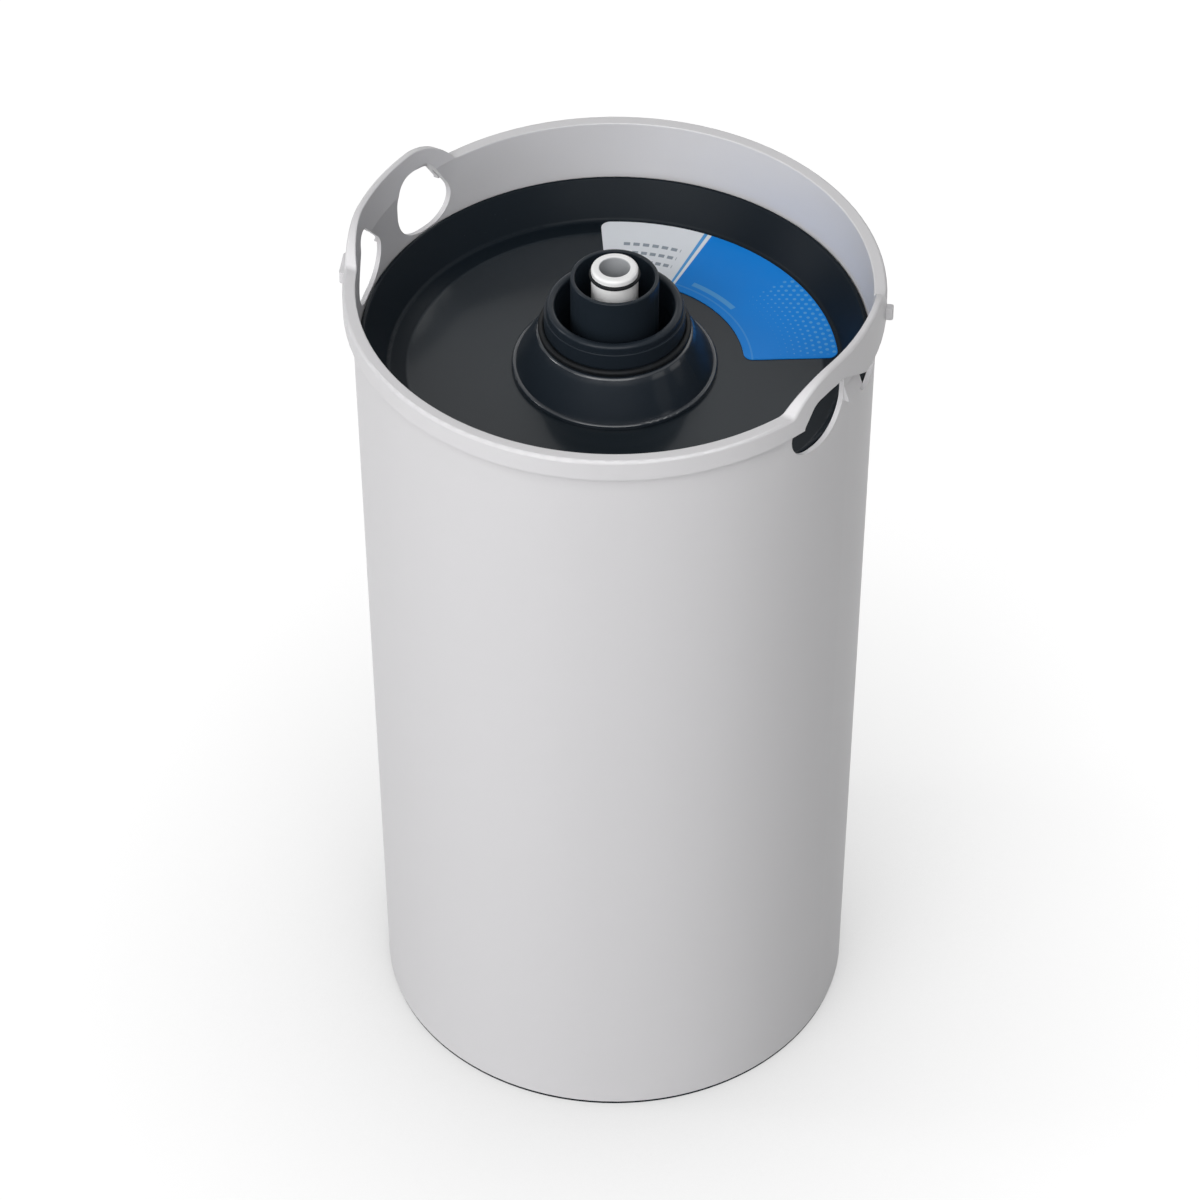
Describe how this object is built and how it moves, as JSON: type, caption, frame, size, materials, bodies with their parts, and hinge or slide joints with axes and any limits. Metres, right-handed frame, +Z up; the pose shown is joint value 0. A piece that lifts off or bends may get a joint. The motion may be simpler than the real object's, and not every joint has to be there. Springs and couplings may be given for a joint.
{
  "type": "water filter cartridge",
  "caption": "Tall round filter cartridge: light grey tapered sleeve with two finger-hole ears, dark dished lid and a stepped central water port.",
  "frame": {"origin": "centre of the foot ring's underside, on the surface the cartridge stands on", "axes": "+Z up along the cartridge's axis, +X and -X through the middles of the two ears"},
  "size_m": [0.2, 0.2, 0.356],
  "materials": {
    "sleeve_plastic": "fine moulded satin, light grey",
    "dark_plastic": "semi-gloss, dark blue grey",
    "white_plastic": "satin white",
    "seal_rubber": "dull black",
    "label_film": "printed satin film",
    "fleece": "felted",
    "resin_beads": "packed beads, amber",
    "carbon_grains": "packed grains, black"
  },
  "bodies": {
    "root": {"outer_sleeve": "sleeve_plastic", "foot_ring": "dark_plastic", "tank_shell": "dark_plastic", "tank_lid": "dark_plastic", "lid_label": "label_film", "neck_collar": "dark_plastic", "collar_seal": "seal_rubber", "port_tube": "dark_plastic", "outlet_spigot": "white_plastic", "spigot_seal": "seal_rubber", "riser_tube": "white_plastic", "riser_seal": "seal_rubber", "bypass_tube": "white_plastic", "bypass_diffuser": "white_plastic", "top_distributor": "white_plastic", "top_fleece": "fleece", "resin_bed": "resin_beads", "middle_fleece": "fleece", "carbon_bed": "carbon_grains", "fine_filter": "fleece", "bottom_collector": "white_plastic"}
  },
  "joints": []
}
